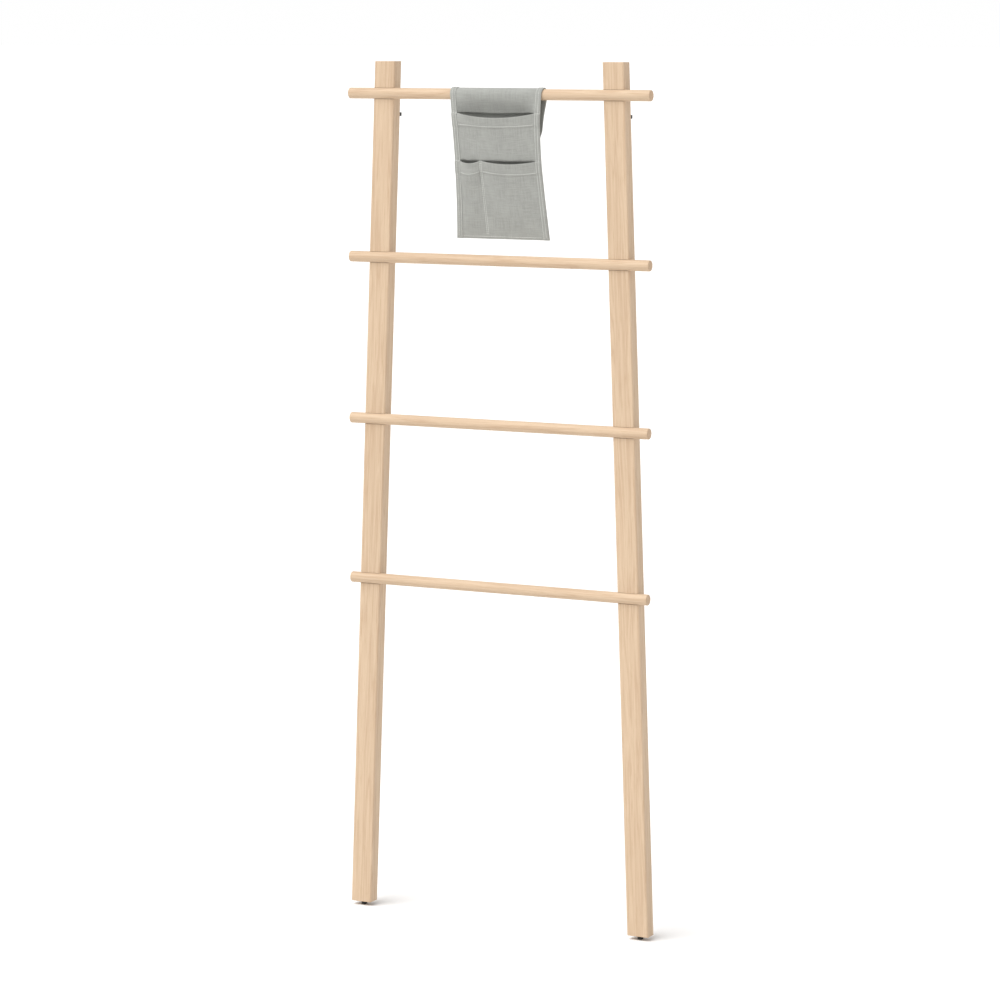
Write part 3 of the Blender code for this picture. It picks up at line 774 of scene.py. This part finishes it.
def pocketPoints(point, mouth, hem, columns, outer):
    # rows: up the inside of the turned hem, round the fold at the mouth, and down the outside;
    # outer rows are kept as they are near the mouth and stretched to reach the bottom edge
    fold = 0.55 * cloth["thickness"]
    inner = np.linspace(1.0, 0.08, 9)[:, None]
    bend = np.linspace(0, math.pi, 7)
    top = mouth(columns)[None, :]
    c = columns[None, :]
    back = np.array([0, math.cos(cloth["tilt"]), math.sin(cloth["tilt"])])
    down = np.array([0, math.sin(cloth["tilt"]), -math.cos(cloth["tilt"])])
    s = top + inner * hem(columns)
    lining = point(c + 0 * s, s) + 2 * fold * back
    s = top + 0 * bend[:, None]
    turned = point(c + 0 * s, s) + (fold * (1 + np.cos(bend)))[:, None, None] * back
    turned = turned - (fold * np.sin(bend))[:, None, None] * down
    near = 26 * mm
    stretch = np.clip((outer - near) / (outer[-1] - near), 0, 1)[:, None]
    s = top + outer[:, None] + stretch * (cloth["length"] - top - outer[-1])
    outside = point(c + 0 * s, s)
    lengths = np.concatenate([-inner[:, 0] * hem(np.array([0.0])), fold * (bend - math.pi),
                              outer[1:]])
    return np.concatenate([lining, turned, outside[1:]]), lengths


def buildCloth(material):
    # the grids are finer where the cloth is folded, stitched or gapes
    half, length = cloth["halfFlat"] / mm, cloth["length"] / mm
    seam, tucked = half - 13, half - 0.6    # the pockets' sides are tucked just inside the folds
    upperEnds, lowerEnds = pockets["upperEnds"] / mm, pockets["lowerEnds"] / mm
    acrossSteps = steps((-half, 1.0), (-seam, 2.6), (seam, 1.0), (half, 1.0))
    upperSteps = steps((-tucked, 1.0), (-seam, 2.6), (seam, 1.0), (tucked, 1.0))
    lowerSteps = steps((-tucked, 1.0), (-seam, 2.6), (-40, 1.0), (-20, 2.6), (seam, 1.0), (tucked, 1.0))

    start = -cloth["overRung"] * loopRadius
    rows = np.concatenate([np.linspace(start, 0, 22)[:-1],
                           steps((0, 1.5), (upperEnds - 4, 0.7), (upperEnds + 2, 2.5),
                                 (lowerEnds - 4, 0.7), (lowerEnds + 2, 2.5), (length, 2.5))])
    points, across = turnedSides(leafPoint, sideLift, acrossSteps, rows)
    leaf = clothPiece("canvasLeaf", points, across, rows, material)

    outer = steps((0, 1.0), (26, 2.5), (200, 1.0), (209, 1.0))
    points, lengths = pocketPoints(upperPoint, upperMouth, upperHem, upperSteps, outer)
    upper = clothPiece("canvasUpperPocket", points, upperSteps, lengths, material)

    outer = steps((0, 1.0), (34, 2.5), (122, 1.0), (131, 1.0))
    points, lengths = pocketPoints(lowerPoint, lowerMouth, lowerHem, lowerSteps, outer)
    lower = clothPiece("canvasLowerPockets", points, lowerSteps, lengths, material)

    start = -(math.pi - cloth["overRung"]) * loopRadius
    rows = np.concatenate([np.linspace(start, 0, 10)[:-1], np.linspace(0, flapReach, 48)])
    points, across = turnedSides(flapPoint, lambda c, s: flap["hemLift"] + 0 * s, acrossSteps, rows)
    flapCloth = clothPiece("canvasFlap", points, across, rows, material)
    print("cloth made")
    return leaf, upper, lower, flapCloth


stitch = {
    "length": 2.7 * mm, "pitch": 3.5 * mm, "width": 0.85 * mm, "height": 0.5 * mm, "lift": 0.12 * mm,
    "sideInsets": (3.4 * mm, 8.6 * mm),     # the two rows along each side, from its fold
    "hemInset": 1.8 * mm,       # above the turned edge of a pocket's hem,
    "groove": 0.35 * mm,        # in a groove this deep
    "bottomInset": 4 * mm,
    "dividerApart": 1.6 * mm,   # the divider's two rows, each side of its middle
    "flapRows": (4 * mm, 26 * mm),      # up from the flap's end
}


def stitchRow(point, c, s, side=-1):
    # places, directions and outward normals along a line of stitches; point is the cloth's
    # surface, and side is -1 on its front face and 1 on its back face
    c, s = np.broadcast_arrays(np.asarray(c, float), np.asarray(s, float))
    along = point(c, s)
    run = np.concatenate([[0], np.cumsum(np.linalg.norm(np.diff(along, axis=0), axis=1))])
    place = np.arange(stitch["pitch"] / 2, run[-1], stitch["pitch"])
    small = 0.3 * mm
    ahead, behind = (np.stack([np.interp(place + step, run, along[:, i]) for i in range(3)], -1)
                     for step in (small, -small))
    direction = ahead - behind
    direction /= np.linalg.norm(direction, axis=1, keepdims=True)
    c, s = np.interp(place, run, c), np.interp(place, run, s)
    normal = np.cross(point(c + small, s) - point(c - small, s),
                      point(c, s + small) - point(c, s - small))
    normal /= np.linalg.norm(normal, axis=1, keepdims=True)
    normal *= side      # across times down points to the back
    return point(c, s) + normal * (cloth["thickness"] / 2 + stitch["lift"]), direction, normal


def threadPiece(name, rowsOfStitches, material):
    # each stitch is a short bead: rings of six points whose size falls off towards its ends
    ends = np.array([-1.0, -0.72, 0.72, 1.0])
    size = np.array([0.35, 1.0, 1.0, 0.35])
    angle = np.linspace(0, 2 * math.pi, 6, endpoint=False)
    here, direction, normal = (np.concatenate(parts) for parts in zip(*rowsOfStitches))
    beside = np.cross(direction, normal)
    ring = size[:, None] * np.stack([np.cos(angle), np.sin(angle)])[:, None, :]
    points = (here[:, None, None, :]
              + (ends * stitch["length"] / 2)[None, :, None, None] * direction[:, None, None, :]
              + (ring[0] * stitch["width"] / 2)[None, :, :, None] * beside[:, None, None, :]
              + (ring[1] * stitch["height"] / 2)[None, :, :, None] * normal[:, None, None, :])
    rings, around = len(ends), len(angle)
    first = rings * around * np.arange(len(here))[:, None, None]
    sides = (np.array(gridFaces(rings, around, wrap=True))[None] + first).reshape(-1, 4).tolist()
    caps = np.stack([np.arange(around)[::-1], np.arange((rings - 1) * around, rings * around)])
    caps = (caps[None] + first).reshape(-1, around).tolist()
    piece = makePiece(name, points.reshape(-1, 3), sides + caps, material)
    fixNormals(piece)
    return piece


def buildStitches(material):
    half, length, end = cloth["halfFlat"], cloth["length"], 3 * mm
    sides = [side * (half - inset) for side in (-1, 1) for inset in stitch["sideInsets"]]
    rows = [stitchRow(sideHemPoint, c, np.linspace(-20 * mm, length - end, 600)) for c in sides]
    rows += [stitchRow(leafPoint, c, np.linspace(110 * mm, length - end, 300), side=1) for c in sides]

    inner = half - cloth["sideHem"] - 1.5 * mm
    c = np.linspace(-inner, inner, 200)
    rows.append(stitchRow(upperPoint, c, upperMouth(c) + upperHem(c) - stitch["hemInset"]))
    rows.append(stitchRow(lowerPoint, c, length - stitch["bottomInset"]))
    rows.append(stitchRow(leafPoint, c, length - stitch["bottomInset"], side=1))
    divider = float(dividerAt(np.array(pockets["lowerEnds"])))
    for low, high in ((-inner, divider - 4 * mm), (divider + 4 * mm, inner)):
        c = np.linspace(low, high, 120)
        rows.append(stitchRow(lowerPoint, c, lowerMouth(c) + lowerHem(c) - stitch["hemInset"]))
    s = np.linspace(pockets["lowerEnds"] + 2 * mm, length - 6 * mm, 150)
    for beside in (-stitch["dividerApart"], stitch["dividerApart"]):
        rows.append(stitchRow(lowerPoint, dividerAt(s) + beside, s))
        rows.append(stitchRow(leafPoint, dividerAt(s) + beside, s, side=1))
    leafThread = threadPiece("leafThread", rows, material)

    down = np.linspace(-5 * mm, flapReach - end, 120)
    rows = [stitchRow(flapHemPoint, c, down, side=1) for c in sides]
    c = np.linspace(-inner, inner, 200)
    rows += [stitchRow(flapPoint, c, flapReach - up, side=1) for up in stitch["flapRows"]]
    flapThread = threadPiece("flapThread", rows, material)
    print("stitches made")
    return leafThread, flapThread


def buildOrganiser():
    leaf, upper, lower, flapCloth = buildCloth(makeCanvas())
    leafThread, flapThread = buildStitches(makeThread())

    brass = makeMetal("nickelPlatedBrass", nickel)
    for kind, body in (("eyelet", "organiser_leaf"), ("post", "organiser_leaf"),
                       ("socket", "organiser_flap"), ("cap", "organiser_flap")):
        for number in range(1, 4):
            piece = smoothCopy(f"stud_{kind}_{number}", f"pressStud{kind.title()}{number}", brass)
            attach(piece, body)

    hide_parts("front_leaf", "organiser_saddle")
    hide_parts("upper_pocket")
    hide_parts("lower_pockets")
    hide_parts("back_flap")
    for piece in (upper, lower):
        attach(piece, "organiser_leaf")
    # the cloth and thread of the leaf and the flap keep their places, baked into their meshes
    for pieces, hinge, body in (((leaf, leafThread), leafHinge, "organiser_leaf"),
                                ((flapCloth, flapThread), flapHinge, "organiser_flap")):
        for piece in pieces:
            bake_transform(piece)

    print("organiser made")


studio = {
    "camera": (2.778, -5.3947, 1.5427), "turn": 27.2366, "down": 7.471, "roll": 0.04,
    "lens": 127.3, "sensor": 36.0,
    "skyLow": 1.0, "skyHigh": 0.6,              # white walls and a duller ceiling
    "lampHeading": -30.0, "lampHeight": 58.0,   # degrees: from the front, to the left; above the floor
    "lampSpread": 48.0, "lampPower": 2.75,
    "floorColour": "#eeedec", "floorSize": 900.0,
}


def addCamera():
    data = bpy.data.cameras.new("studioCamera")
    data.lens = studio["lens"]
    data.sensor_width = studio["sensor"]
    data.clip_end = 2000
    camera = bpy.data.objects.new("studioCamera", data)
    camera.location = studio["camera"]
    camera.rotation_euler = [math.radians(a) for a in (90 - studio["down"], 0, studio["turn"])]
    camera.rotation_euler.rotate_axis("Z", math.radians(studio["roll"]))
    bpy.context.scene.collection.objects.link(camera)
    bpy.context.scene.camera = camera
    print("camera placed")


def addStage():
    half, level = studio["floorSize"] / 2, cadBounds[0][2] - 0.2 * mm
    material, tree, shader = newMaterial("paleFloor", 0.9)
    shader.inputs["Base Color"].default_value = linearColour(studio["floorColour"])
    shader.inputs["Specular IOR Level"].default_value = 0.0
    corners = [(-half, -half, level), (half, -half, level), (half, half, level), (-half, half, level)]
    floor = makePiece("studioFloor", corners, [(0, 1, 2, 3)], material, smooth=False)

    world = bpy.data.worlds.new("studioTent")
    world.use_nodes = True
    tree = world.node_tree
    direction = addNode(tree, "ShaderNodeTexCoord")
    parts = addNode(tree, "ShaderNodeSeparateXYZ", None, {0: direction.outputs["Generated"]})
    strength = addNode(tree, "ShaderNodeMapRange",
                       {"To Min": studio["skyLow"], "To Max": studio["skyHigh"]},
                       {"Value": parts.outputs["Z"]})
    tree.nodes["Background"].inputs["Color"].default_value = (1, 1, 1, 1)
    tree.links.new(strength.outputs[0], tree.nodes["Background"].inputs["Strength"])
    bpy.context.scene.world = world

    data = bpy.data.lights.new("softLamp", "SUN")
    data.energy = studio["lampPower"]
    data.angle = math.radians(studio["lampSpread"])
    lamp = bpy.data.objects.new("softLamp", data)
    lamp.location = (-1.5, -2.5, 3.5)
    lamp.rotation_euler = (math.radians(90 - studio["lampHeight"]), 0,
                           math.radians(studio["lampHeading"]))
    bpy.context.scene.collection.objects.link(lamp)
    bpy.context.scene.view_settings.view_transform = "Standard"
    print("floor and light set")


addCamera()
addStage()
buildLadder()
buildOrganiser()
